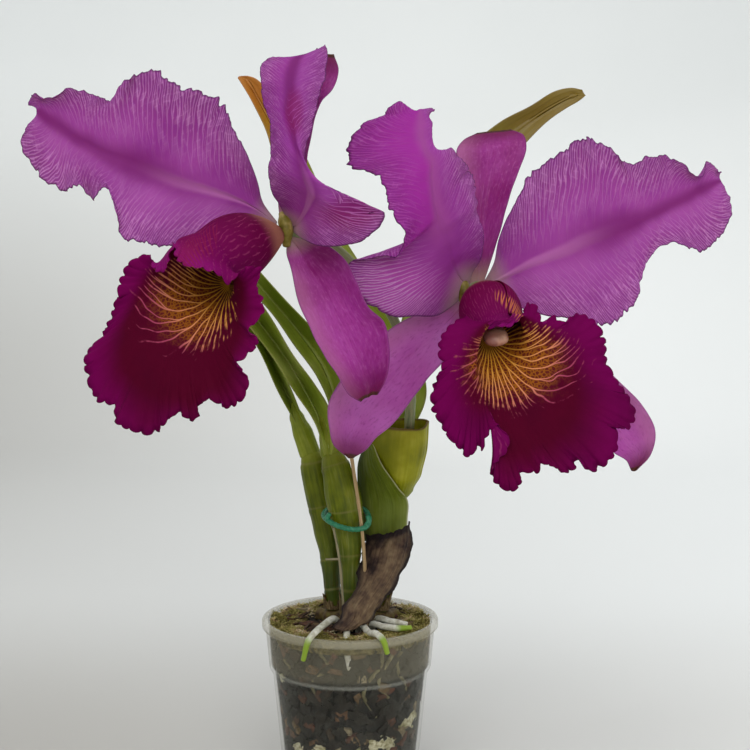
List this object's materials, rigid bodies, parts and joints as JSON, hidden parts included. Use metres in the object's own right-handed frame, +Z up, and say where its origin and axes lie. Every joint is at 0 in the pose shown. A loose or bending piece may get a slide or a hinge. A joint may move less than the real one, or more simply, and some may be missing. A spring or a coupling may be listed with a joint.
{
  "type": "cattleya orchid in a clear pot",
  "caption": "Cattleya orchid in a clear nursery pot: green pseudobulbs and strap leaves, and frilled magenta flowers with dark purple, gold-veined trumpet lips on a forked stalk.",
  "frame": {"origin": "middle of the pot's underside, on the surface that it stands on", "axes": "+Z up through the pot's axis; the flowers look towards -Y, and +X is on the right of someone who faces them"},
  "size_m": [0.3281, 0.1913, 0.3695],
  "materials": {
    "clear_pot": "gloss",
    "bark_mix": "matte",
    "moss": "matte",
    "bulb_green": "satin",
    "root_white": "matte",
    "dry_cane": "matte",
    "dry_husk": "matte",
    "leaf_green": "satin",
    "spathe_green": "satin",
    "stalk_green": "satin",
    "tie_teal": "satin",
    "petal_pink": "satin",
    "lip_purple": "satin",
    "column_cream": "satin"
  },
  "bodies": {
    "root": {"pot": "clear_pot", "potting_mix": "bark_mix", "moss": "moss", "rhizome": "bulb_green", "pseudobulb_left": "bulb_green", "pseudobulb_middle": "bulb_green", "pseudobulb_right": "bulb_green", "root_over_rim": "root_white", "root_front": "root_white", "root_right": "root_white", "root_right_long": "root_white", "root_front_right": "root_white", "stake": "dry_cane", "dry_stem": "dry_cane", "dry_husk": "dry_husk", "leaf_front": "leaf_green", "leaf_middle": "leaf_green", "leaf_left": "leaf_green", "leaf_back_left": "leaf_green", "leaf_back_right": "leaf_green", "spathe": "spathe_green", "flower_stalk": "stalk_green", "tie": "tie_teal", "left_flower_petal_left": "petal_pink", "left_flower_petal_right": "petal_pink", "left_flower_dorsal_sepal": "petal_pink", "left_flower_lateral_sepal_left": "petal_pink", "left_flower_lateral_sepal_right": "petal_pink", "left_flower_lip": "lip_purple", "left_flower_column": "column_cream", "right_flower_petal_left": "petal_pink", "right_flower_petal_right": "petal_pink", "right_flower_dorsal_sepal": "petal_pink", "right_flower_lateral_sepal_left": "petal_pink", "right_flower_lateral_sepal_right": "petal_pink", "right_flower_lip": "lip_purple", "right_flower_column": "column_cream"}
  },
  "joints": []
}
